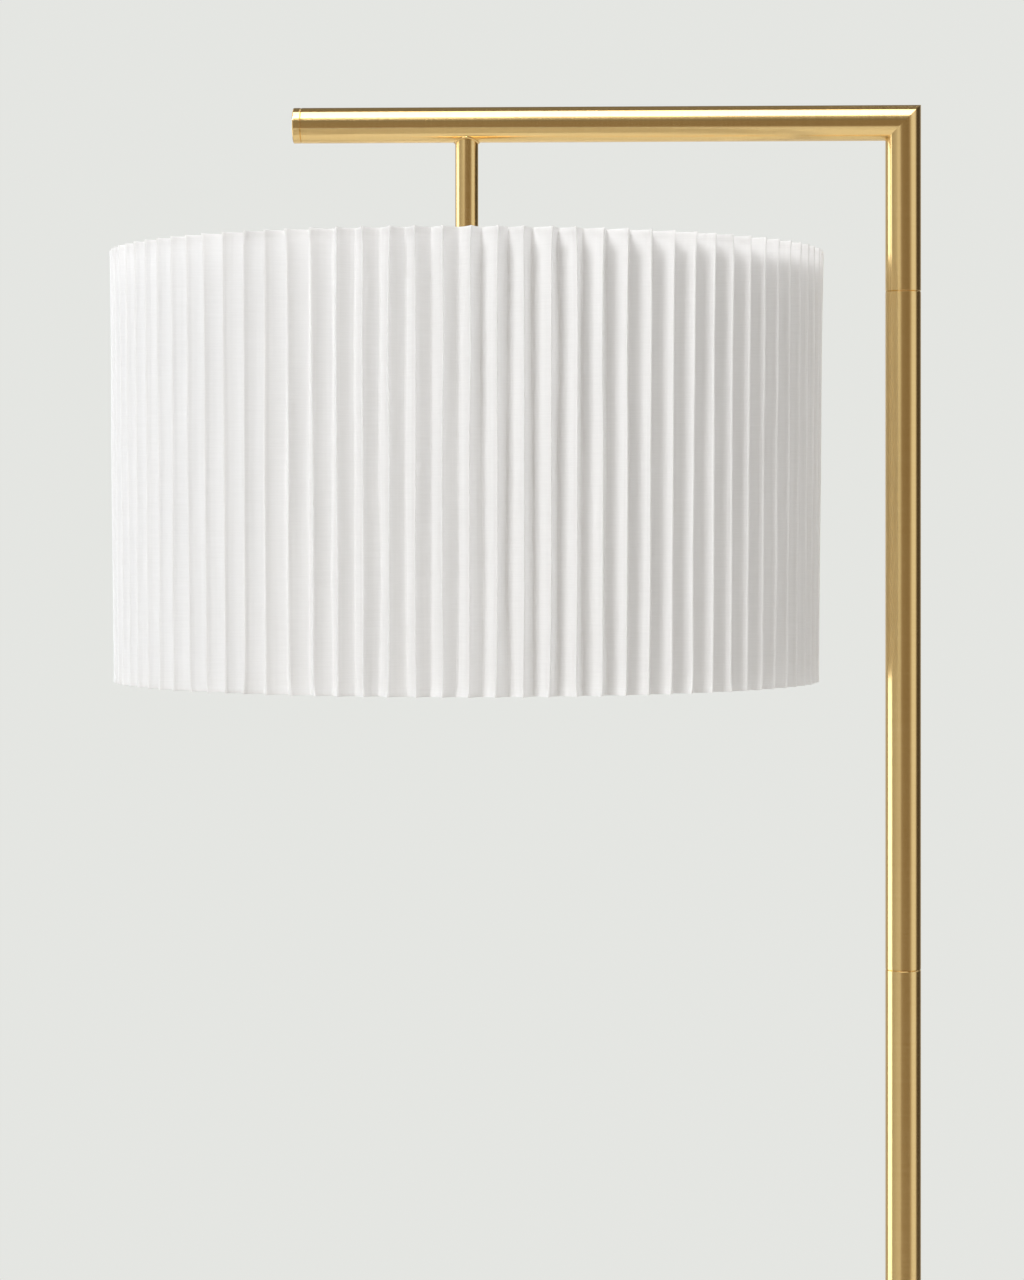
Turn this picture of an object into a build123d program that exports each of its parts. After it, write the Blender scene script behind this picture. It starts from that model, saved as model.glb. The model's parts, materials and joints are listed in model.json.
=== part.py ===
"""Floor lamp with a mitred tube arm and a pleated drum shade.

Millimetres, +Z up. The origin is on the floor, at the axis of the pole. The arm runs
towards -X, and the shade, the lamp holder and the bulb hang from it on their own
vertical axis. Every piece is one node, written to parts/ as its own STEP file.
"""

import os
from math import cos, pi, radians, sin

from build123d import *

# Driving dimensions ----------------------------------------------------------------

FIT = 0.05  # radial play of a screwed or pressed joint

# base
BASE_RADIUS = 140
BASE_HEIGHT = 30
COVER_WALL = 1.2
COVER_EDGE_RADIUS = 6
COVER_FLOOR_GAP = 1.5
FELT_RADIUS = 136
FELT_THICKNESS = 2
PLATE_RADIUS = 133
PLATE_THICKNESS = 1
WEIGHT_RADIUS = 133
WEIGHT_BOTTOM = 12
NUT_RECESS_RADIUS = 17
NUT_RECESS_TOP = 22
NUT_WIDTH = 17
NUT_HEIGHT = 6
WASHER_RADIUS = 14
WASHER_THICKNESS = 2
STUD_BOTTOM = 15
COLLAR_RADIUS = 15.5
COLLAR_HEIGHT = 8
INLET_HEIGHT = 8
INLET_BORE_RADIUS = 3

# pole, arm and stem
TUBE_RADIUS = 10
TUBE_WALL = 1
SECTION_COUNT = 4
SECTION_LENGTH = 380
DROP_LENGTH = 94.5  # from the top seam of the pole to the axis of the arm
SEAM_CHAMFER = 0.4
ARM_REACH = 343  # from the axis of the pole to the free end of the arm
CAP_RIM = 4.5
CAP_PLUG = 9
SHADE_REACH = 245  # from the axis of the pole to the axis of the shade
STEM_RADIUS = 6.5

# hollow M10 threads
THREAD_RADIUS = 5
THREAD_BORE = 3.6
TAPPED_RADIUS = THREAD_RADIUS + FIT
INSERT_LENGTH = 12
INSERT_INSET = 0.5
NIPPLE_REACH = 11  # how far a nipple goes into each side

# shade
SHADE_RADIUS = 200
SHADE_BOTTOM_RADIUS = 198.5
SHADE_HEIGHT = 240
SHADE_TOP_BELOW_ARM = 72.7
LINER_RADIUS = 187
LINER_WALL = 0.6
EDGE_INSET = 3  # how far the edges of the liner stand back from those of the cover
RING_RADIUS = 184.6
RING_WIRE_RADIUS = 1.6
RING_INSET = 5
TAPE_WALL = 0.4
TAPE_WIDTH = 7
SPIDER_WIRE_RADIUS = 1.5
SPIDER_BEND_RADIUS = 8
HUB_RADIUS = 26
HUB_THICKNESS = 2

# lamp holder; depths are measured down from the bottom of the stem
HOLDER_DROP = 6  # from the top edge of the shade to the bottom of the stem
HOLDER_RADIUS = 19
HOLDER_WALL = 1
HOLDER_CAP_HEIGHT = 18
HOLDER_LENGTH = 66
SHOULDER_DEPTH = 32
SHOULDER_RADIUS = 23.5
SHOULDER_THICKNESS = 1.5
SWITCH_DEPTH = 24
SWITCH_TOP_DEPTH = 15
SWITCH_BOTTOM_DEPTH = 33
SHAFT_RADIUS = 1.5
SHAFT_LENGTH = 29
KNOB_RADIUS = 6.5
KNOB_LENGTH = 11
KNOB_FLUTES = 10
SCREW_SHELL_RADIUS = 14.9
SLIP_WASHER_THICKNESS = 1
RETAINING_RING_RADIUS = 24.5
RETAINING_RING_HEIGHT = 7
RING_GRIPS = 24

# bulb
BULB_RADIUS = 30
BULB_NECK_RADIUS = 13
BULB_CAP_RADIUS = 13.2
BULB_CAP_LENGTH = 20
BULB_LENGTH = 108
GLASS_WALL = 1

# lead
LEAD_RADIUS = 2.5
LEAD_START = 131
LEAD_BENDS = [11, 22, 15]  # at the foot of the stud, in the mitre and over the stem

# Worked out --------------------------------------------------------------------------

TUBE_BORE = TUBE_RADIUS - TUBE_WALL
SEAMS = [BASE_HEIGHT + index * SECTION_LENGTH for index in range(SECTION_COUNT + 1)]
ARM_HEIGHT = SEAMS[-1] + DROP_LENGTH
SHADE_TOP = ARM_HEIGHT - SHADE_TOP_BELOW_ARM
SHADE_BOTTOM = SHADE_TOP - SHADE_HEIGHT
HOLDER_TOP = SHADE_TOP - HOLDER_DROP
HOLDER_BOTTOM = HOLDER_TOP - HOLDER_LENGTH
SHELL_TOP = HOLDER_TOP - HOLDER_CAP_HEIGHT
SHOULDER_Z = HOLDER_TOP - SHOULDER_DEPTH
HUB_BOTTOM = SHOULDER_Z - HUB_THICKNESS
SLIP_WASHER_BOTTOM = HUB_BOTTOM - SLIP_WASHER_THICKNESS
SWITCH_Z = HOLDER_TOP - SWITCH_DEPTH
SWITCH_TOP = HOLDER_TOP - SWITCH_TOP_DEPTH
SWITCH_BOTTOM = HOLDER_TOP - SWITCH_BOTTOM_DEPTH
BULB_TOP = SWITCH_BOTTOM - 5.2
SHADE_AXIS = Axis((-SHADE_REACH, 0, 0), (0, 0, 1))
SHADE_SECTION = Plane(origin=(-SHADE_REACH, 0, 0), x_dir=(1, 0, 0), z_dir=(0, -1, 0))

os.makedirs("parts", exist_ok=True)


def save(piece, label):
    """Label a finished piece and write it as its own node."""
    piece.part.label = label
    export_step(piece.part, f"parts/{label}.step")


def tube(outer, inner, bottom, top, x=0.0):
    """A plain upright tube, or a disc where inner is 0."""
    with BuildPart() as piece:
        with BuildSketch(Plane(origin=(x, 0, bottom))):
            Circle(outer)
            if inner:
                Circle(inner, mode=Mode.SUBTRACT)
        extrude(amount=top - bottom)
    return piece


def turned(points):
    """A piece turned round the shade's axis, from (radius, height) points."""
    with BuildPart() as piece:
        with BuildSketch(SHADE_SECTION):
            with BuildLine():
                Polyline(*points, close=True)
            make_face()
        revolve(axis=SHADE_AXIS)
    return piece


def rolled_thread(crest, depth, wall, top, turns, pitch):
    """Zigzag (radius, height) points of a rolled thread, down its outside and up its inside."""
    outside = []
    for turn in range(turns):
        height = top - turn * pitch
        outside += [(crest, height), (crest - depth, height - pitch / 2)]
    outside.append((crest, top - turns * pitch))
    inside = [(radius - wall, height) for radius, height in reversed(outside)]
    return outside + inside


# Base --------------------------------------------------------------------------------

base_felt = tube(FELT_RADIUS, 0, 0, FELT_THICKNESS)
save(base_felt, "base_felt")

PLATE_TOP = FELT_THICKNESS + PLATE_THICKNESS
base_plate = tube(PLATE_RADIUS, 0, FELT_THICKNESS, PLATE_TOP)
save(base_plate, "base_plate")

with BuildPart() as base_cover:
    inner_radius = BASE_RADIUS - COVER_WALL
    inner_top = BASE_HEIGHT - COVER_WALL
    inner_edge = COVER_EDGE_RADIUS - COVER_WALL
    edge_height = BASE_HEIGHT - COVER_EDGE_RADIUS
    with BuildSketch(Plane.XZ):
        with BuildLine():
            Line((TAPPED_RADIUS, BASE_HEIGHT), (BASE_RADIUS - COVER_EDGE_RADIUS, BASE_HEIGHT))
            RadiusArc((BASE_RADIUS - COVER_EDGE_RADIUS, BASE_HEIGHT), (BASE_RADIUS, edge_height),
                      COVER_EDGE_RADIUS)
            Polyline((BASE_RADIUS, edge_height), (BASE_RADIUS, COVER_FLOOR_GAP),
                     (inner_radius, COVER_FLOOR_GAP), (inner_radius, edge_height))
            RadiusArc((inner_radius, edge_height), (inner_radius - inner_edge, inner_top), -inner_edge)
            Polyline((inner_radius - inner_edge, inner_top), (TAPPED_RADIUS, inner_top),
                     (TAPPED_RADIUS, BASE_HEIGHT))
        make_face()
    revolve(axis=Axis.Z)
    with BuildSketch(Plane(origin=(0, BASE_RADIUS - 5, INLET_HEIGHT), x_dir=(1, 0, 0), z_dir=(0, 1, 0))):
        Circle(INLET_BORE_RADIUS + 1.9)
    extrude(amount=10, mode=Mode.SUBTRACT)
save(base_cover, "base_cover")

with BuildPart() as base_weight:
    with BuildSketch(Plane.XY.offset(WEIGHT_BOTTOM)):
        Circle(WEIGHT_RADIUS)
    extrude(amount=inner_top - WEIGHT_BOTTOM)
    chamfer(base_weight.edges().group_by(Axis.Z)[0], length=2)
    with Locations((0, 0, WEIGHT_BOTTOM)):
        Cylinder(NUT_RECESS_RADIUS, NUT_RECESS_TOP - WEIGHT_BOTTOM,
                 align=(Align.CENTER, Align.CENTER, Align.MIN), mode=Mode.SUBTRACT)
    Hole(TAPPED_RADIUS)
save(base_weight, "base_weight")

WASHER_BOTTOM = NUT_RECESS_TOP - WASHER_THICKNESS
save(tube(WASHER_RADIUS, TAPPED_RADIUS, WASHER_BOTTOM, NUT_RECESS_TOP), "base_washer")

with BuildPart() as base_nut:
    with BuildSketch(Plane.XY.offset(WASHER_BOTTOM - NUT_HEIGHT)):
        RegularPolygon(NUT_WIDTH / 2, 6, major_radius=False)
        Circle(TAPPED_RADIUS, mode=Mode.SUBTRACT)
    extrude(amount=NUT_HEIGHT)
save(base_nut, "base_nut")

save(tube(THREAD_RADIUS, THREAD_BORE, STUD_BOTTOM, BASE_HEIGHT + NIPPLE_REACH), "base_stud")

with BuildPart() as pole_collar:
    with BuildSketch(Plane.XY.offset(BASE_HEIGHT)):
        Circle(COLLAR_RADIUS)
        Circle(TUBE_RADIUS + 2 * FIT, mode=Mode.SUBTRACT)
    extrude(amount=COLLAR_HEIGHT)
    fillet(pole_collar.edges().group_by(Axis.Z)[-1].sort_by(SortBy.RADIUS)[-1], radius=2)
save(pole_collar, "pole_collar")

# A snap-in bushing in the back of the cover, where the mains cord goes in.
with BuildPart() as cord_gland:
    with BuildSketch(Plane(origin=(0, 0, INLET_HEIGHT), x_dir=(1, 0, 0), z_dir=(0, 0, 1))):
        with BuildLine():
            Polyline(
                (INLET_BORE_RADIUS, 133.5), (4.4, 133.5), (5.3, 138.3), (4.8, 138.6), (4.8, BASE_RADIUS),
                (6.2, BASE_RADIUS), (6.2, 141.4), (5.6, 142), (INLET_BORE_RADIUS, 142), close=True,
            )
        make_face()
    revolve(axis=Axis((0, 0, INLET_HEIGHT), (0, 1, 0)))
save(cord_gland, "cord_gland")

# Pole ---------------------------------------------------------------------------------


def seam_ends(piece, *groups):
    """Break the outer edges of a tube's ends, so that a butt seam shows as a hairline."""
    for group in groups:
        rim = piece.edges().group_by(Axis.Z)[group].sort_by(SortBy.RADIUS)[-1]
        chamfer(rim, length=SEAM_CHAMFER)


for number in range(1, SECTION_COUNT + 1):
    bottom, top = SEAMS[number - 1], SEAMS[number]
    with BuildPart() as pole_section:
        with BuildSketch(Plane.XY.offset(bottom)):
            Circle(TUBE_RADIUS)
            Circle(TUBE_BORE, mode=Mode.SUBTRACT)
        extrude(amount=top - bottom)
        seam_ends(pole_section, 0, -1)
    save(pole_section, f"pole_section_{number}")

    lower = tube(TUBE_BORE - FIT, TAPPED_RADIUS, bottom + INSERT_INSET, bottom + INSERT_LENGTH)
    save(lower, f"section_{number}_bottom_insert")
    upper = tube(TUBE_BORE - FIT, TAPPED_RADIUS, top - INSERT_LENGTH, top - INSERT_INSET)
    save(upper, f"section_{number}_top_insert")
    nipple = tube(THREAD_RADIUS, THREAD_BORE, top - NIPPLE_REACH, top + NIPPLE_REACH)
    save(nipple, f"seam_{number}_nipple")

# Arm ----------------------------------------------------------------------------------

MITRE = Plane(origin=(0, 0, ARM_HEIGHT), z_dir=(1, 0, -1))

with BuildPart() as drop_tube:
    with BuildSketch(Plane.XY.offset(SEAMS[-1])):
        Circle(TUBE_RADIUS)
        Circle(TUBE_BORE, mode=Mode.SUBTRACT)
    extrude(amount=DROP_LENGTH + 2 * TUBE_RADIUS)
    seam_ends(drop_tube, 0)
    split(bisect_by=MITRE, keep=Keep.TOP)
save(drop_tube, "drop_tube")

drop_insert = tube(TUBE_BORE - FIT, TAPPED_RADIUS, SEAMS[-1] + INSERT_INSET, SEAMS[-1] + INSERT_LENGTH)
save(drop_insert, "drop_tube_insert")

ARM_END = CAP_RIM - ARM_REACH

with BuildPart() as arm_tube:
    with BuildSketch(Plane(origin=(ARM_END, 0, ARM_HEIGHT), z_dir=(1, 0, 0))):
        Circle(TUBE_RADIUS)
        Circle(TUBE_BORE, mode=Mode.SUBTRACT)
    extrude(amount=2 * TUBE_RADIUS - ARM_END)
    rim = arm_tube.edges().group_by(Axis.X)[0].sort_by(SortBy.RADIUS)[-1]
    chamfer(rim, length=SEAM_CHAMFER)
    split(bisect_by=MITRE, keep=Keep.BOTTOM)
    with BuildSketch(Plane(origin=(-SHADE_REACH, 0, ARM_HEIGHT))):
        Circle(TAPPED_RADIUS)
    extrude(amount=-2 * TUBE_RADIUS, mode=Mode.SUBTRACT)
save(arm_tube, "arm_tube")

with BuildPart() as arm_end_cap:
    with BuildSketch(Plane(origin=(-ARM_REACH, 0, ARM_HEIGHT), z_dir=(1, 0, 0))):
        Circle(TUBE_RADIUS)
    extrude(amount=CAP_RIM)
    chamfer(arm_end_cap.edges().group_by(Axis.X)[-1], length=SEAM_CHAMFER)
    fillet(arm_end_cap.edges().group_by(Axis.X)[0], radius=0.6)
    with BuildSketch(Plane(origin=(ARM_END, 0, ARM_HEIGHT), z_dir=(1, 0, 0))):
        Circle(TUBE_BORE - FIT)
    extrude(amount=CAP_PLUG)
save(arm_end_cap, "arm_end_cap")

# The stem's top is cut to sit on the round underside of the arm.
with BuildPart() as stem_tube:
    with BuildSketch(Plane(origin=(-SHADE_REACH, 0, HOLDER_TOP))):
        Circle(STEM_RADIUS)
        Circle(TAPPED_RADIUS, mode=Mode.SUBTRACT)
    extrude(amount=ARM_HEIGHT - HOLDER_TOP)
    with BuildSketch(Plane(origin=(-SHADE_REACH - 2 * STEM_RADIUS, 0, ARM_HEIGHT), z_dir=(1, 0, 0))):
        Circle(TUBE_RADIUS + FIT)
    extrude(amount=4 * STEM_RADIUS, mode=Mode.SUBTRACT)
save(stem_tube, "stem_tube")

STEM_NIPPLE_BOTTOM = HOLDER_TOP - 6
stem_nipple = tube(THREAD_RADIUS, THREAD_BORE, STEM_NIPPLE_BOTTOM, HOLDER_TOP + NIPPLE_REACH, -SHADE_REACH)
save(stem_nipple, "stem_nipple")

# Lamp holder ----------------------------------------------------------------------------

HOLDER_BORE = HOLDER_RADIUS - HOLDER_WALL

with BuildPart() as holder_cap:
    crown = 8.5
    with BuildSketch(SHADE_SECTION):
        with BuildLine():
            outside = Spline((crown, HOLDER_TOP), (HOLDER_RADIUS, SHELL_TOP + 4),
                             tangents=[(1, 0), (0, -1)])
            Line(outside @ 1, (HOLDER_RADIUS, SHELL_TOP))
            Line((HOLDER_RADIUS, SHELL_TOP), (HOLDER_BORE, SHELL_TOP))
            Line((HOLDER_BORE, SHELL_TOP), (HOLDER_BORE, SHELL_TOP + 4))
            Spline((HOLDER_BORE, SHELL_TOP + 4), (crown, HOLDER_TOP - HOLDER_WALL),
                   tangents=[(0, 1), (-1, 0)])
            Polyline((crown, HOLDER_TOP - HOLDER_WALL), (TAPPED_RADIUS, HOLDER_TOP - HOLDER_WALL),
                     (TAPPED_RADIUS, HOLDER_TOP), (crown, HOLDER_TOP))
        make_face()
    revolve(axis=SHADE_AXIS)
save(holder_cap, "holder_cap")

# The outer shell: a shoulder for the shade to hang against, and a thread for its ring.
THREAD_TOP = SHOULDER_Z - SHOULDER_THICKNESS
with BuildPart() as holder_shell:
    with BuildSketch(SHADE_SECTION):
        with BuildLine():
            shell_points = [
                (HOLDER_BORE, SHELL_TOP), (HOLDER_RADIUS, SHELL_TOP),
                (HOLDER_RADIUS, SHOULDER_Z + SHOULDER_THICKNESS),
                (SHOULDER_RADIUS, SHOULDER_Z + SHOULDER_THICKNESS),
                (SHOULDER_RADIUS, SHOULDER_Z), (HOLDER_RADIUS, SHOULDER_Z),
            ]
            for turn in range(12):
                height = THREAD_TOP - 2.5 * turn
                shell_points += [(HOLDER_RADIUS, height), (HOLDER_RADIUS - 0.5, height - 0.8),
                                 (HOLDER_RADIUS - 0.5, height - 1.6), (HOLDER_RADIUS, height - 2.4)]
            shell_points += [(HOLDER_RADIUS, HOLDER_BOTTOM), (HOLDER_BORE, HOLDER_BOTTOM)]
            Polyline(*shell_points, close=True)
        make_face()
    revolve(axis=SHADE_AXIS)
    with BuildSketch(Plane(origin=(-SHADE_REACH, 0, SWITCH_Z), x_dir=(1, 0, 0), z_dir=(0, -1, 0))):
        Circle(SHAFT_RADIUS + 0.6)
    extrude(amount=HOLDER_RADIUS + 2, mode=Mode.SUBTRACT)
save(holder_shell, "holder_shell")

with BuildPart() as switch_body:
    with BuildSketch(Plane(origin=(-SHADE_REACH, 0, SWITCH_BOTTOM))):
        Circle(HOLDER_BORE - 1.2)
    extrude(amount=SWITCH_TOP - SWITCH_BOTTOM)
    chamfer(switch_body.edges().group_by(Axis.Z)[-1], length=1.5)
    with BuildSketch(Plane(origin=(-SHADE_REACH, -4, SWITCH_Z), x_dir=(1, 0, 0), z_dir=(0, -1, 0))):
        Circle(SHAFT_RADIUS + FIT)
    extrude(amount=HOLDER_RADIUS, mode=Mode.SUBTRACT)
    with Locations(Plane(origin=(-SHADE_REACH, 0, SWITCH_TOP))):
        with Locations((-9, 0), (9, 0)):
            Hole(1.45, depth=6)
save(switch_body, "switch_body")

with BuildPart() as terminal_screws:
    with BuildSketch(Plane(origin=(-SHADE_REACH, 0, SWITCH_TOP))):
        with Locations((-9, 0), (9, 0)):
            Circle(2.8)
    extrude(amount=1.8)
    with BuildSketch(Plane(origin=(-SHADE_REACH, 0, SWITCH_TOP + 1))):
        with Locations((-9, 0), (9, 0)):
            Rectangle(0.7, 6)
    extrude(amount=1, mode=Mode.SUBTRACT)
    with BuildSketch(Plane(origin=(-SHADE_REACH, 0, SWITCH_TOP))):
        with Locations((-9, 0), (9, 0)):
            Circle(1.4)
    extrude(amount=-5)
save(terminal_screws, "terminal_screws")

save(turned([
    (SCREW_SHELL_RADIUS + 0.3, SWITCH_BOTTOM - 0.2), (HOLDER_BORE - 0.3, SWITCH_BOTTOM - 0.2),
    (HOLDER_BORE - 0.3, HOLDER_BOTTOM + 1), (SCREW_SHELL_RADIUS + 0.3, HOLDER_BOTTOM + 1),
]), "insulating_sleeve")

save(turned(rolled_thread(SCREW_SHELL_RADIUS, 0.7, 0.4, SWITCH_BOTTOM - 3, 7, 3.6)), "screw_shell")

with BuildPart() as centre_contact:
    with BuildSketch(Plane(origin=(-SHADE_REACH, 0, SWITCH_BOTTOM))):
        Circle(3)
    extrude(amount=-1.2)
    with BuildSketch(SHADE_SECTION):
        with BuildLine():
            Polyline((-9, SWITCH_BOTTOM - 1.2), (-2.5, SWITCH_BOTTOM - 1.2), (1, SWITCH_BOTTOM - 4.5),
                     (3.5, SWITCH_BOTTOM - 4.5), (3.5, SWITCH_BOTTOM - 5), (0.8, SWITCH_BOTTOM - 5),
                     (-2.7, SWITCH_BOTTOM - 1.7), (-9, SWITCH_BOTTOM - 1.7), close=True)
        make_face()
    extrude(amount=2.5, both=True)
save(centre_contact, "centre_contact")

SHAFT_START = Plane(origin=(-SHADE_REACH, -5, SWITCH_Z), x_dir=(1, 0, 0), z_dir=(0, -1, 0))
KNOB_START = SHAFT_START.offset(SHAFT_LENGTH - KNOB_LENGTH + 1.5)

with BuildPart() as switch_shaft:
    with BuildSketch(SHAFT_START):
        Circle(SHAFT_RADIUS)
    extrude(amount=SHAFT_LENGTH)
save(switch_shaft, "switch_shaft")

with BuildPart() as switch_knob:
    with BuildSketch(KNOB_START):
        Circle(KNOB_RADIUS)
        with PolarLocations(KNOB_RADIUS + 0.6, KNOB_FLUTES):
            Circle(1.3, mode=Mode.SUBTRACT)
    extrude(amount=KNOB_LENGTH)
    with BuildSketch(KNOB_START):
        Circle(SHAFT_RADIUS + FIT)
    extrude(amount=KNOB_LENGTH - 1, mode=Mode.SUBTRACT)
    with BuildSketch(KNOB_START.offset(KNOB_LENGTH)):
        Circle(KNOB_RADIUS - 1.4)
    extrude(amount=1, taper=30)
save(switch_knob, "switch_knob")

# Shade ------------------------------------------------------------------------------------

save(turned([
    (LINER_RADIUS + 0.2, SHADE_TOP), (SHADE_RADIUS, SHADE_TOP),
    (SHADE_BOTTOM_RADIUS, SHADE_BOTTOM), (LINER_RADIUS + 0.2, SHADE_BOTTOM),
]), "pleated_cover")

liner = tube(LINER_RADIUS, LINER_RADIUS - LINER_WALL, SHADE_BOTTOM + EDGE_INSET, SHADE_TOP - EDGE_INSET,
             -SHADE_REACH)
save(liner, "shade_liner")


def shade_edge(side, edge, inward):
    """The wire ring at one edge of the shade, and the tape folded over it and the liner."""
    with BuildPart() as ring:
        with BuildSketch(SHADE_SECTION):
            with Locations((RING_RADIUS, edge + inward * RING_INSET)):
                Circle(RING_WIRE_RADIUS)
        revolve(axis=SHADE_AXIS)
    save(ring, f"{side}_ring")

    inner = RING_RADIUS - RING_WIRE_RADIUS - 0.4
    face = edge + inward * (EDGE_INSET - 0.2)
    lip = face - inward * TAPE_WALL
    save(turned([
        (inner, face + inward * TAPE_WIDTH), (inner, face), (LINER_RADIUS, face), (LINER_RADIUS, lip),
        (inner - TAPE_WALL, lip), (inner - TAPE_WALL, face + inward * TAPE_WIDTH),
    ]), f"{side}_edge_tape")


shade_edge("top", SHADE_TOP, -1)
shade_edge("bottom", SHADE_BOTTOM, 1)

save(tube(HUB_RADIUS, HOLDER_RADIUS + 0.4, HUB_BOTTOM, SHOULDER_Z, -SHADE_REACH), "spider_hub")

# Three wires run out from the hub, bend up beside the liner and end under the top ring.
SPIDER_Z = (HUB_BOTTOM + SHOULDER_Z) / 2
RING_UNDERSIDE = SHADE_TOP - RING_INSET - RING_WIRE_RADIUS
with BuildPart() as spider_arms:
    for angle in (90, 210, 330):
        outward = Vector(cos(radians(angle)), sin(radians(angle)), 0)
        centre = Vector(-SHADE_REACH, 0, SPIDER_Z)
        root = centre + outward * (HUB_RADIUS + FIT)
        with BuildLine():
            wire = FilletPolyline(
                root, centre + outward * RING_RADIUS,
                centre + outward * RING_RADIUS + Vector(0, 0, RING_UNDERSIDE - 0.1 - SPIDER_Z),
                radius=SPIDER_BEND_RADIUS,
            )
        with BuildSketch(Plane(origin=root, z_dir=outward)):
            Circle(SPIDER_WIRE_RADIUS)
        sweep(path=wire)
save(spider_arms, "spider_arms")

slip_washer = tube(SHOULDER_RADIUS, HOLDER_RADIUS + 0.4, SLIP_WASHER_BOTTOM, HUB_BOTTOM, -SHADE_REACH)
save(slip_washer, "slip_washer")

with BuildPart() as retaining_ring:
    ring_bottom = SLIP_WASHER_BOTTOM - RETAINING_RING_HEIGHT
    with BuildSketch(Plane(origin=(-SHADE_REACH, 0, ring_bottom))):
        Circle(RETAINING_RING_RADIUS)
        Circle(HOLDER_RADIUS + 0.4, mode=Mode.SUBTRACT)
    extrude(amount=RETAINING_RING_HEIGHT)
    with BuildSketch(Plane(origin=(-SHADE_REACH, 0, ring_bottom))):
        with PolarLocations(RETAINING_RING_RADIUS + 0.5, RING_GRIPS):
            Circle(1.4)
    extrude(amount=RETAINING_RING_HEIGHT - 1.5, mode=Mode.SUBTRACT)
save(retaining_ring, "retaining_ring")

# Bulb ---------------------------------------------------------------------------------------

CAP_TOP = BULB_TOP - 3.5
CAP_BOTTOM = CAP_TOP - BULB_CAP_LENGTH
BULB_TIP = BULB_TOP - BULB_LENGTH
BULB_CENTRE = BULB_TIP + BULB_RADIUS


def glass_line(inset):
    """The bulb's outline from its neck to its tip, inset from the outer one."""
    neck = (BULB_NECK_RADIUS - inset, CAP_BOTTOM)
    waist = (BULB_RADIUS - inset, BULB_CENTRE)
    flank = Spline(neck, waist, tangents=[(0, -1), (0, -1)], tangent_scalars=[1.1, 1.1])
    crown = RadiusArc(waist, (0, BULB_TIP + inset), BULB_RADIUS - inset)
    return flank, crown


with BuildPart() as bulb_glass:
    with BuildSketch(SHADE_SECTION):
        with BuildLine():
            glass_line(0)
            Line((0, BULB_TIP), (0, BULB_TIP + GLASS_WALL))
            glass_line(GLASS_WALL)
            Line((BULB_NECK_RADIUS - GLASS_WALL, CAP_BOTTOM), (BULB_NECK_RADIUS, CAP_BOTTOM))
        make_face()
    revolve(axis=SHADE_AXIS)
save(bulb_glass, "bulb_glass")

save(turned(rolled_thread(BULB_CAP_RADIUS, 0.7, 0.4, CAP_TOP - 2, 5, 3.6)), "bulb_cap")

save(turned([
    (0, CAP_TOP - 3), (11.9, CAP_TOP - 3), (11.9, CAP_TOP - 1.6), (5.5, CAP_TOP + 1.4),
    (5.5, CAP_TOP + 1.8), (0, CAP_TOP + 1.8),
]), "bulb_insulator")

save(turned([
    (0, CAP_TOP + 1.8), (4.5, CAP_TOP + 1.8), (4.5, CAP_TOP + 2.6), (3, BULB_TOP), (0, BULB_TOP),
]), "bulb_contact")

# Lead -----------------------------------------------------------------------------------------

# From the inlet, under the weight, up the pole, round the mitre and down the stem.
with BuildPart() as lamp_lead:
    with BuildLine():
        route = FilletPolyline(
            (0, LEAD_START, INLET_HEIGHT), (0, 0, INLET_HEIGHT), (0, 0, ARM_HEIGHT),
            (-SHADE_REACH, 0, ARM_HEIGHT), (-SHADE_REACH, 0, SWITCH_TOP + 0.2),
            radius=LEAD_BENDS,
        )
    with BuildSketch(Plane(origin=(0, LEAD_START, INLET_HEIGHT), z_dir=(0, -1, 0))):
        Circle(LEAD_RADIUS)
    sweep(path=route)
save(lamp_lead, "lamp_lead")
print("lead length", round(route.length, 1), "volume ratio",
      round(lamp_lead.part.volume / (pi * LEAD_RADIUS**2 * route.length), 4))
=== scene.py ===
"""Looks for the floor lamp with a pleated drum shade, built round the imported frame. Metres."""

import json
import math
import random

import bmesh
import bpy
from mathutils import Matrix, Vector


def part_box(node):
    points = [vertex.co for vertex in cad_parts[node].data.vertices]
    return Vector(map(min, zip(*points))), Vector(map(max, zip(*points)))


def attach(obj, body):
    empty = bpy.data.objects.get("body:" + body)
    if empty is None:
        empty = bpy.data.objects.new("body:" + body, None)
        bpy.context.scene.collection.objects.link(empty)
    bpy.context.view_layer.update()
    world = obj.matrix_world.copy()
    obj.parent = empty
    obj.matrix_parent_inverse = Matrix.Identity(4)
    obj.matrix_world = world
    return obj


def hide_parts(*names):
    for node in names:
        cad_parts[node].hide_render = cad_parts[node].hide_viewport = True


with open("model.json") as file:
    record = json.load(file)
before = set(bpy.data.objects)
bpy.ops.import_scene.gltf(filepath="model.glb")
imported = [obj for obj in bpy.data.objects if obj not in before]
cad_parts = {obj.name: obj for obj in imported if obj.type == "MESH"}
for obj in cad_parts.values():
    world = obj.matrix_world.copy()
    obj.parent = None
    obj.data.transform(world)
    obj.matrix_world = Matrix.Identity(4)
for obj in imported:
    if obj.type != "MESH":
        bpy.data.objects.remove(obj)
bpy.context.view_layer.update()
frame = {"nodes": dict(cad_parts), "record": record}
NODES = frame["nodes"]
MM = 0.001

# Places read from the frame -------------------------------------------------------------

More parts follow.
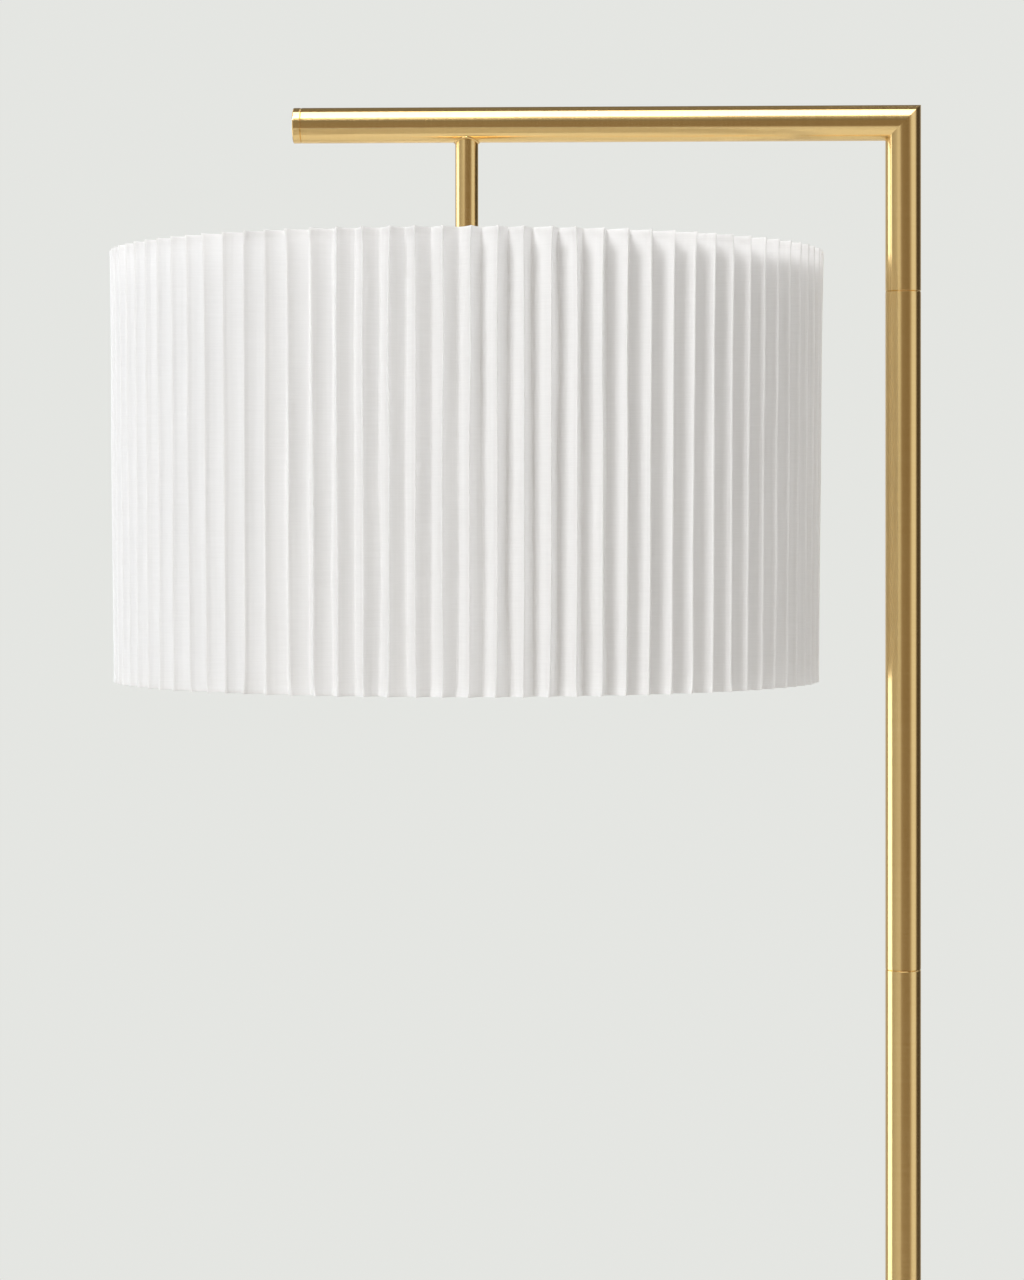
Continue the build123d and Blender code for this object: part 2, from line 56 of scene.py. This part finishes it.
cover_low, cover_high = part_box("pleated_cover")
liner_low, liner_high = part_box("shade_liner")
arm_low, arm_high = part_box("arm_tube")
stem_low, stem_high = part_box("stem_tube")
SHADE_X = (cover_low.x + cover_high.x) / 2
SHADE_TOP, SHADE_BOTTOM = cover_high.z, cover_low.z
RIDGE_RADIUS = (cover_high.y - cover_low.y) / 2
LINER_RADIUS = (liner_high.y - liner_low.y) / 2
ARM_Z = (arm_low.z + arm_high.z) / 2
TUBE_RADIUS = (arm_high.z - arm_low.z) / 2
STEM_RADIUS = (stem_high.y - stem_low.y) / 2

VIEW_TURN = math.radians(2.5)  # the lamp is seen from a little to the right of its own front


# Materials --------------------------------------------------------------------------------


def new_material(name, colour, roughness=0.5, metallic=0.0, **sockets):
    """A Principled material. Other sockets are named with underscores for spaces."""
    made = bpy.data.materials.new(name)
    made.use_nodes = True
    shader = made.node_tree.nodes["Principled BSDF"]
    shader.inputs["Base Color"].default_value = (*colour, 1.0)
    shader.inputs["Roughness"].default_value = roughness
    shader.inputs["Metallic"].default_value = metallic
    for socket, value in sockets.items():
        shader.inputs[socket.replace("_", " ")].default_value = value
    return made


def add(material, kind, inputs=None, **settings):
    """Adds a shader node. An input is a constant, or another node's output to link from."""
    node = material.node_tree.nodes.new("ShaderNode" + kind)
    for name, value in settings.items():
        setattr(node, name, value)
    for socket, value in (inputs or {}).items():
        if isinstance(value, bpy.types.NodeSocket):
            material.node_tree.links.new(value, node.inputs[socket])
        else:
            node.inputs[socket].default_value = value
    return node


def feed(material, socket, output):
    """Links an output into one of the Principled shader's sockets."""
    material.node_tree.links.new(output, material.node_tree.nodes["Principled BSDF"].inputs[socket])


def place(material, scale=(1, 1, 1)):
    """Object coordinates, in metres and in the row's frame, stretched by scale."""
    coordinates = add(material, "TexCoord").outputs["Object"]
    return add(material, "Mapping", {"Vector": coordinates, "Scale": scale}).outputs["Vector"]


def noise(material, where, scale, detail=2.0, rough=0.5):
    """Noise of so many features to a unit of the coordinates."""
    return add(material, "TexNoise", {"Vector": where, "Scale": scale, "Detail": detail,
                                      "Roughness": rough}).outputs["Fac"]


def spread(material, value, low, high, from_low=0.3, from_high=0.7):
    """Maps a value to a range. Noise mostly lies between 0.3 and 0.7."""
    return add(material, "MapRange", {"Value": value, "From Min": from_low, "From Max": from_high,
                                      "To Min": low, "To Max": high}).outputs["Result"]


def tint(material, factor, first, second):
    """Mixes two colours by a factor from 0 to 1."""
    colours = {"Factor": factor, "A": (*first, 1), "B": (*second, 1)}
    return add(material, "Mix", colours, data_type="RGBA").outputs["Result"]


def bump(material, height, distance, strength=1.0, before=None):
    """A bump from a height, on top of the bump before it if there is one."""
    inputs = {"Height": height, "Distance": distance, "Strength": strength}
    if before is not None:
        inputs["Normal"] = before
    return add(material, "Bump", inputs).outputs["Normal"]


def satin_brass(name, axis, rough=0.2):
    """Lacquered brass plate, brushed so finely round its axis that reflections only stretch along it."""
    made = new_material(name, (0.86, 0.62, 0.28), rough, 1.0,
                        Anisotropic=0.75, Anisotropic_Rotation=0.25)
    fine, slow = 6000.0, 40.0
    stretch = tuple(fine if letter == axis else slow for letter in "XYZ")
    rings = noise(made, place(made, stretch), 1.0, 3.0, 0.6)
    cloud = noise(made, place(made), 7.0, 3.0)
    deep, light = (0.835, 0.592, 0.256), (0.88, 0.645, 0.30)
    feed(made, "Base Color", tint(made, spread(made, rings, 0, 1), deep, light))
    brushed = spread(made, rings, -0.02, 0.03)
    worn = spread(made, cloud, rough - 0.02, rough + 0.025)
    feed(made, "Roughness", add(made, "Math", {0: brushed, 1: worn}, operation="ADD").outputs[0])
    feed(made, "Tangent", add(made, "Tangent", direction_type="RADIAL", axis=axis).outputs[0])
    feed(made, "Normal", bump(made, rings, 0.000004, 0.25))
    return made


def plain_metal(name, colour, roughness, grain=900.0):
    """Plated, cast or drawn metal with a fine uneven grain."""
    made = new_material(name, colour, roughness, 1.0)
    grainy = noise(made, place(made), grain, 4.0)
    dark = tuple(channel * 0.82 for channel in colour)
    feed(made, "Base Color", tint(made, spread(made, grainy, 0, 1), dark, colour))
    feed(made, "Roughness", spread(made, grainy, roughness - 0.05, roughness + 0.12))
    feed(made, "Normal", bump(made, grainy, 0.00005, 0.3))
    return made


def moulded(name, colour, roughness, grain=2500.0, depth=0.00003, **sockets):
    """Moulded plastic, glass or powder coat, with a fine orange-peel."""
    made = new_material(name, colour, roughness, **sockets)
    peel = noise(made, place(made), grain, 3.0)
    cloud = noise(made, place(made), 14.0)
    lighter = tuple(min(1.0, channel * 1.06 + 0.008) for channel in colour)
    feed(made, "Base Color", tint(made, spread(made, cloud, 0, 1), colour, lighter))
    feed(made, "Roughness", spread(made, peel, roughness - 0.04, roughness + 0.08))
    feed(made, "Normal", bump(made, peel, depth, 0.4))
    return made


def weave(name, colour, shadow_and_slub, pitch, uv, sheen=0.15):
    """Plain-woven cloth. Its threads follow a UV map in metres, or the row's frame without one."""
    made = new_material(name, colour, 0.85, Sheen_Weight=sheen, Sheen_Roughness=0.5)
    if uv:
        where = add(made, "UVMap", uv_map=uv).outputs["UV"]
    else:
        where = add(made, "TexCoord").outputs["Object"]
    axes = add(made, "SeparateXYZ", {"Vector": where})
    turns = 2 * math.pi / pitch
    across = add(made, "Math", {0: axes.outputs["X"], 1: turns}, operation="MULTIPLY").outputs[0]
    along = add(made, "Math", {0: axes.outputs["Y"], 1: turns}, operation="MULTIPLY").outputs[0]
    warp = add(made, "Math", {0: across}, operation="SINE").outputs[0]
    weft = add(made, "Math", {0: along}, operation="SINE").outputs[0]
    thread = add(made, "Math", {0: warp, 1: weft}, operation="MULTIPLY").outputs[0]
    crush = noise(made, add(made, "Mapping", {"Vector": where, "Scale": (650, 7, 7)}).outputs[0], 1.0, 3.0)
    slub = noise(made, add(made, "Mapping", {"Vector": where, "Scale": (60, 1500, 60)}).outputs[0], 1.0, 2.0)
    shade = add(made, "Math", {0: crush, 1: slub}, operation="ADD").outputs[0]
    # The shadow colour is painted shade in the low parts of the crush creases, which the bump below also
    # dents, mixed with real tone along the slubs.
    feed(made, "Base Color", tint(made, spread(made, shade, 0, 1, 0.75, 1.25), shadow_and_slub, colour))
    creased = bump(made, crush, 0.00025, 0.5)
    feed(made, "Normal", bump(made, thread, 0.00002, 0.4, creased))
    return made


BRASS = {axis: satin_brass(f"satin_brass_{axis.lower()}", axis) for axis in "XZ"}
CLOTH_THREADS = 0.35 * MM
FABRIC = weave("pleated_fabric", (0.90, 0.905, 0.915), (0.865, 0.87, 0.88), CLOTH_THREADS, "cloth")
MATERIALS = {
    "satin_brass": BRASS["Z"],
    "cast_iron": plain_metal("cast_iron", (0.07, 0.07, 0.075), 0.7, 300.0),
    "felt": weave("felt", (0.035, 0.035, 0.037), (0.02, 0.02, 0.022), 0.0016, None, 0.4),
    "plated_steel": plain_metal("plated_steel", (0.62, 0.63, 0.64), 0.32),
    "black_plastic": moulded("black_plastic", (0.022, 0.022, 0.024), 0.42),
    "phenolic": moulded("phenolic", (0.09, 0.05, 0.032), 0.35),
    "contact_brass": plain_metal("contact_brass", (0.80, 0.60, 0.28), 0.25),
    "pleated_fabric": FABRIC,
    "styrene_liner": moulded("styrene_liner", (0.82, 0.81, 0.79), 0.55, 1800.0),
    "edge_tape": weave("edge_tape", (0.84, 0.83, 0.81), (0.76, 0.75, 0.73), 0.0007, None),
    "white_wire": moulded("white_wire", (0.80, 0.80, 0.78), 0.35),
    "fibre": moulded("fibre", (0.62, 0.57, 0.48), 0.7),
    "opal_glass": moulded("opal_glass", (0.88, 0.87, 0.84), 0.22, 600.0, 0.00001, Coat_Weight=0.3),
    "nickel_cap": plain_metal("nickel_cap", (0.74, 0.73, 0.70), 0.24),
    "bulb_black": moulded("bulb_black", (0.012, 0.012, 0.013), 0.15),
    "lead_sheath": moulded("lead_sheath", (0.02, 0.02, 0.021), 0.5),
}

for entry in frame["record"]["subparts"]:
    mesh = NODES[entry["node"]].data
    mesh.materials.clear()
    mesh.materials.append(MATERIALS[entry["material_slot"]])
for node in ("arm_tube", "arm_end_cap"):
    NODES[node].data.materials[0] = BRASS["X"]
SPUN_ROUGHNESS = 0.34  # the base's spun cover is duller than the tubes
NODES["base_cover"].data.materials[0] = satin_brass("satin_brass_spun", "Z", SPUN_ROUGHNESS)


# Pleated cover -------------------------------------------------------------------------------

PLEATS = 90
FIRST_RIDGE = math.radians(-90 + 1.15) + VIEW_TURN  # a little right of the camera's line to the shade
HALF_PITCH = math.pi / PLEATS
VALLEY_RADIUS = LINER_RADIUS + 0.95 * MM  # far enough out for the cloth to clear the liner
TAPER = 2.2 * MM  # the ridges' circle is this much smaller at the bottom
PLEAT_DEPTH = RIDGE_RADIUS - TAPER / 2 - VALLEY_RADIUS
RIDGE_WANDER, VALLEY_WANDER = 0.25 * MM, 0.4 * MM
RIDGE_LEAN, VALLEY_LEAN = 0.06, 0.14  # in half pitches
HEM_FLARE = 0.16  # in half pitches
TOP_FLARE_FROM, BOTTOM_FLARE_TO = 0.93, 0.05  # heights where the pleats start to open at the hems
FALLING_BLUNT, RISING_BLUNT = 0.4 * MM, 0.25 * MM  # the two facets that meet in a ridge
SCOOP, SCOOP_WANDER = 0.7 * MM, 0.18 * MM
CLOTH = 0.45 * MM
FACET = math.hypot(PLEAT_DEPTH, HALF_PITCH * (RIDGE_RADIUS - PLEAT_DEPTH / 2))


def wander(rng, amount, knots=5):
    """A smooth random curve over 0..1, through evenly spaced random heights."""
    heights = [rng.uniform(-amount, amount) for _ in range(knots)]

    def at(t):
        place_on = min(max(t, 0.0), 1.0) * (knots - 1)
        index = min(int(place_on), knots - 2)
        ease = place_on - index
        ease = ease * ease * (3 - 2 * ease)
        return heights[index] * (1 - ease) + heights[index + 1] * ease

    return at


def crease_lines(rng):
    """For every crease, ridge then valley, its angle and radius as functions of height 0..1."""
    lines = []
    for index in range(2 * PLEATS):
        ridge = index % 2 == 0
        lean = wander(rng, (RIDGE_LEAN if ridge else VALLEY_LEAN) * HALF_PITCH)
        depth = wander(rng, RIDGE_WANDER if ridge else VALLEY_WANDER)
        flare = rng.uniform(-HEM_FLARE, HEM_FLARE) * HALF_PITCH

        def line(t, index=index, ridge=ridge, lean=lean, depth=depth, flare=flare):
            angle = FIRST_RIDGE + index * HALF_PITCH + lean(t)
            top = max(0.0, (t - TOP_FLARE_FROM) / (1 - TOP_FLARE_FROM))
            bottom = max(0.0, (BOTTOM_FLARE_TO - t) / BOTTOM_FLARE_TO)
            angle += flare * (top ** 2 - bottom ** 2)
            return angle, depth(t) + (RIDGE_RADIUS - TAPER * (1 - t) if ridge else VALLEY_RADIUS)

        lines.append(line)
    return lines


# How far along its facet, from ridge to valley, each column of points lies.
SHARES = (0.0, 0.03, 0.07, 0.12, 0.19, 0.29, 0.41, 0.54, 0.67, 0.79, 0.89, 0.96)


def facet_swell(share, blunt, scoop):
    """How far a facet stands off the flat there: blunt beside its ridge, and scooped towards its middle."""
    centre, width = 0.08, 0.06
    return blunt * math.exp(-((share - centre) / width) ** 2) - scoop * math.sin(math.pi * share)


def facet_scoops(rng):
    """How much each facet is scooped, by height."""
    return [wander(rng, SCOOP_WANDER, 4) for _ in range(2 * PLEATS)]


def pleated_ring(t, lift):
    """The points once round the shade at height t, lifted off the folds' own line."""
    corners = []
    for line in CREASES:
        angle, radius = line(t)
        corners.append(Vector((math.cos(angle), math.sin(angle))) * radius)
    points = []
    for index, corner in enumerate(corners):
        following = corners[(index + 1) % len(corners)]
        along = (following - corner).normalized()
        outward = Vector((along.y, -along.x))
        falling = index % 2 == 0
        blunt = FALLING_BLUNT if falling else RISING_BLUNT
        for share in SHARES if falling else reversed(SHARES[1:]):
            swell = facet_swell(share, blunt, SCOOP + SCOOPS[index](t))
            points.append(corner.lerp(following, share if falling else 1 - share) + outward * swell)
    count = len(points)
    lifted = []  # every point moved along the cloth's own outward normal
    for index, point in enumerate(points):
        along = (points[(index + 1) % count] - points[index - 1]).normalized()
        lifted.append(point + Vector((along.y, -along.x)) * lift)
    return lifted


SEED = 41
rng = random.Random(SEED)
CREASES = crease_lines(rng)
SCOOPS = facet_scoops(rng)

# Distance in from the cloth's edge, and how far its turned-in hem lifts it there, both in mm.
HEM = [(0.0, 0.08), (0.5, 0.15), (1.2, 0.17), (2.2, 0.15), (2.9, 0.1), (3.6, 0.03), (4.6, 0.0),
       (8.0, 0.0), (13.0, 0.0)]
CLOTH_HEIGHT = 240  # mm
BODY_START, BODY_STEP = 20, 10  # mm: the rows of points between the hems


def new_piece(name, shape, material):
    """Turns a finished bmesh into an object with one material."""
    mesh = bpy.data.meshes.new(name)
    shape.to_mesh(mesh)
    shape.free()
    piece = bpy.data.objects.new(name, mesh)
    bpy.context.scene.collection.objects.link(piece)
    piece.data.materials.append(material)
    return piece


def build_cover():
    """The pleated cloth: one sheet all round, lifted a little outwards along its hems."""
    height = SHADE_TOP - SHADE_BOTTOM
    levels = list(HEM)
    levels += [(level, 0.0) for level in range(BODY_START, CLOTH_HEIGHT - BODY_START + 1, BODY_STEP)]
    levels += [(CLOTH_HEIGHT - level, lift) for level, lift in reversed(HEM)]
    grid = bmesh.new()
    uv = grid.loops.layers.uv.new("cloth")
    rows = []
    for level, lift in levels:
        ring = pleated_ring(level * MM / height, lift * MM)
        rows.append([grid.verts.new((SHADE_X + p.x, p.y, SHADE_BOTTOM + level * MM)) for p in ring])
    columns = len(rows[0])
    width = 2 * PLEATS * FACET
    for r in range(len(rows) - 1):
        for c in range(columns):
            face = grid.faces.new((rows[r][c], rows[r][(c + 1) % columns],
                                   rows[r + 1][(c + 1) % columns], rows[r + 1][c]))
            for loop, (i, j) in zip(face.loops, ((c, r), (c + 1, r), (c + 1, r + 1), (c, r + 1))):
                loop[uv].uv = (width * i / columns, levels[j][0] * MM)
            face.smooth = True
    for edge in grid.edges:
        if edge.is_boundary:
            edge.smooth = False
    cover = new_piece("pleated_shade_cloth", grid, FABRIC)
    thick = cover.modifiers.new("thickness", "SOLIDIFY")
    thick.thickness, thick.offset = CLOTH, -1.0  # inwards
    return cover, (width, height)


cover, cover_flat = build_cover()
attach(cover, "shade")
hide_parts("pleated_cover")


# Brazed joint --------------------------------------------------------------------------------------

BRAZE_RADIUS = 0.75 * MM
RIPPLES, RIPPLE_DEPTH = 36, 0.06  # ripples round the bead, and their depth as a share of its radius


def build_braze():
    """The bead of braze where the stem meets the curved underside of the arm, with faint ripples."""
    around, across = 288, 12
    bead = bmesh.new()
    rings = []
    for step in range(around):
        turn = 2 * math.pi * step / around
        out = Vector((math.cos(turn), math.sin(turn), 0))
        side = out.y * STEM_RADIUS
        underside = ARM_Z - math.sqrt(TUBE_RADIUS ** 2 - side ** 2)
        centre = Vector((SHADE_X + out.x * STEM_RADIUS, side, underside))
        ripple = 1 + RIPPLE_DEPTH * math.sin(RIPPLES * turn)
        ring = []
        for part in range(across):
            angle = 2 * math.pi * part / across
            offset = out * math.cos(angle) + Vector((0, 0, math.sin(angle)))
            ring.append(bead.verts.new(centre + offset * BRAZE_RADIUS * ripple))
        rings.append(ring)
    for step in range(around):
        here, there = rings[step], rings[(step + 1) % around]
        for part in range(across):
            following = (part + 1) % across
            face = bead.faces.new((here[part], there[part], there[following], here[following]))
            face.smooth = True
    bmesh.ops.recalc_face_normals(bead, faces=bead.faces)
    return new_piece("stem_braze", bead, BRASS["Z"])


braze = build_braze()
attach(braze, "root")


# Studio ------------------------------------------------------------------------------------------

# Bearing in degrees, 0 on the camera's side and 90 to the right of it, and the colour of the wall there.
WALLS = [(-180, (0.80, 0.80, 0.77)), (-152, (0.55, 0.55, 0.53)), (-125, (0.34, 0.30, 0.25)),
         (-84, (0.42, 0.40, 0.36)), (-60, (0.54, 0.53, 0.50)), (-35, (0.58, 0.57, 0.54)),
         (-24, (0.60, 0.59, 0.56)), (-15, (0.25, 0.19, 0.12)), (34, (0.22, 0.165, 0.10)),
         (44, (0.45, 0.40, 0.32)), (54, (0.82, 0.82, 0.82)),
         (80, (0.95, 0.97, 1.0)), (90, (0.16, 0.12, 0.08)), (98, (0.06, 0.05, 0.04)),
         (138, (0.06, 0.05, 0.04)), (155, (0.7, 0.7, 0.68))]
CEILING, GROUND = (0.20, 0.18, 0.15, 1), (0.78, 0.77, 0.75, 1)
CEILING_BAND, GROUND_BAND = (0.22, 0.42), (-0.33, -0.45)  # a ray's height where the walls blend into each
BACKGROUND = (0.780, 0.790, 0.762, 1)  # what the camera sees behind the lamp

FLOOR_RADIUS = 4.2  # it fades out into the background towards its rim
FLOOR_Z = -0.2 * MM  # a hair below the felt
FADE_FROM, FADE_TO = 0.3, 0.97  # where the floor's fade starts and ends, as shares of its radius
AIM_RISE = 0.1  # the lights aim at a point this far above the shade's bottom

# The camera stands back from the lamp's plane, level, with its picture shifted down to take in the pole.
CAMERA_X = -0.2195
CAMERA_DROP = 0.2198  # below the arm's axis
CAMERA_DISTANCE = 2.0
SENSOR_MM, LENS_MM, SHIFT = 36.0, 99.85, -0.0977


def studio_world():
    """Soft surroundings for the brass to reflect, behind a plain background. The room in front is dimmer."""
    world = bpy.data.worlds.new("studio")
    world.use_nodes = True
    bpy.context.scene.world = world
    tree = world.node_tree
    tree.nodes.clear()

    def node(kind, inputs=None, **settings):
        made = tree.nodes.new("ShaderNode" + kind)
        for name, value in settings.items():
            setattr(made, name, value)
        for socket, value in (inputs or {}).items():
            if isinstance(value, bpy.types.NodeSocket):
                tree.links.new(value, made.inputs[socket])
            else:
                made.inputs[socket].default_value = value
        return made

    sky = node("TexCoord").outputs["Generated"]
    turned = node("Mapping", {"Vector": sky, "Rotation": (0, 0, -VIEW_TURN)})
    ray = node("SeparateXYZ", {"Vector": turned.outputs["Vector"]})
    forward = node("Math", {0: ray.outputs["Y"], 1: -1.0}, operation="MULTIPLY").outputs[0]
    azimuth = node("Math", {0: ray.outputs["X"], 1: forward}, operation="ARCTAN2").outputs[0]
    turn = node("MapRange", {"Value": azimuth, "From Min": -math.pi, "From Max": math.pi})
    walls = node("ValToRGB", {"Fac": turn.outputs["Result"]})
    walls.color_ramp.interpolation = "B_SPLINE"
    ramp = walls.color_ramp.elements
    while len(ramp) < len(WALLS):
        ramp.new(0.5)
    for element, (degrees, colour) in zip(ramp, WALLS):
        element.position = (degrees + 180) / 360
        element.color = (*colour, 1)
    room = walls.outputs["Color"]
    for colour, (start, end) in ((CEILING, CEILING_BAND), (GROUND, GROUND_BAND)):
        share = node("MapRange", {"Value": ray.outputs["Z"], "From Min": start, "From Max": end})
        blend = {"Factor": share.outputs["Result"], "A": room, "B": colour}
        room = node("Mix", blend, data_type="RGBA").outputs["Result"]
    lit = node("Background", {"Color": room, "Strength": 1.0}).outputs[0]
    seen = node("Background", {"Color": BACKGROUND, "Strength": 1.0}).outputs[0]
    by_eye = node("LightPath").outputs["Is Camera Ray"]
    out = node("MixShader", {0: by_eye, 1: lit, 2: seen}).outputs[0]
    tree.links.new(out, node("OutputWorld").inputs["Surface"])


def softbox(name, bearing, height, distance, size, brightness, colour=(1, 1, 1), spread=180):
    """A soft light that faces the shade, on a bearing in degrees from the camera's side.

    It is height above the floor and distance out from the shade's axis. A smaller spread, in degrees,
    keeps its light nearer its own axis.
    """
    light = bpy.data.lights.new(name, "AREA")
    light.shape, light.size, light.size_y = "RECTANGLE", size[0], size[1]
    light.energy, light.color = brightness * math.pi * size[0] * size[1], colour
    light.spread = math.radians(spread)
    lamp = bpy.data.objects.new(name, light)
    target = Vector((SHADE_X, 0, SHADE_BOTTOM + AIM_RISE))
    turn = math.radians(bearing) + VIEW_TURN
    lamp.location = (SHADE_X + distance * math.sin(turn), -distance * math.cos(turn), height)
    lamp.rotation_euler = (target - lamp.location).to_track_quat("-Z", "Y").to_euler()
    lamp.visible_camera = False
    bpy.context.scene.collection.objects.link(lamp)


def build_studio():
    """Surroundings, lights and a floor."""
    studio_world()
    softbox("left_softbox", -103, 1.3, 2.1, (1.6, 1.9), 1.1, (0.84, 0.91, 1.0), spread=130)
    softbox("overhead_softbox", 0, 4.5, 0.95, (2.6, 2.3), 3.2)
    softbox("overhead_edge_softbox", 0, 4.5, 2.4, (2.6, 0.7), 0.8)
    softbox("key_softbox", -34, 6.1, 5.0, (2.0, 2.7), 13.8)
    softbox("right_softbox", 62, 6.1, 5.0, (2.8, 2.8), 2.9)
    softbox("rear_left_softbox", -135, 4.6, 3.4, (2.4, 2.4), 1.3)
    softbox("rear_right_softbox", 135, 4.6, 3.4, (2.4, 2.4), 2.2)

    bpy.ops.mesh.primitive_circle_add(vertices=128, radius=FLOOR_RADIUS, fill_type="NGON",
                                      location=(0, 0, FLOOR_Z))
    floor = bpy.context.object
    floor.name = "studio_floor"
    pale = new_material("pale_floor", (0.80, 0.80, 0.78), 0.6)
    speck = noise(pale, place(pale), 6.0, 3.0)
    feed(pale, "Base Color", tint(pale, spread(pale, speck, 0, 1), (0.79, 0.79, 0.77), (0.81, 0.81, 0.79)))
    reach = add(pale, "VectorMath", {0: place(pale)}, operation="LENGTH").outputs["Value"]
    feed(pale, "Alpha", spread(pale, reach, 1.0, 0.0, FADE_FROM * FLOOR_RADIUS, FADE_TO * FLOOR_RADIUS))
    floor.data.materials.append(pale)


def build_camera():
    """Level with the shade, and turned a little to the left."""
    data = bpy.data.cameras.new("camera")
    data.sensor_width, data.lens, data.shift_y = SENSOR_MM, LENS_MM, SHIFT
    camera = bpy.data.objects.new("camera", data)
    camera.location = (CAMERA_X + CAMERA_DISTANCE * math.sin(VIEW_TURN),
                       -CAMERA_DISTANCE * math.cos(VIEW_TURN), ARM_Z - CAMERA_DROP)
    camera.rotation_euler = (math.pi / 2, 0, VIEW_TURN)
    bpy.context.scene.collection.objects.link(camera)
    bpy.context.scene.camera = camera


build_studio()
build_camera()
bpy.context.scene.view_settings.view_transform = "Standard"
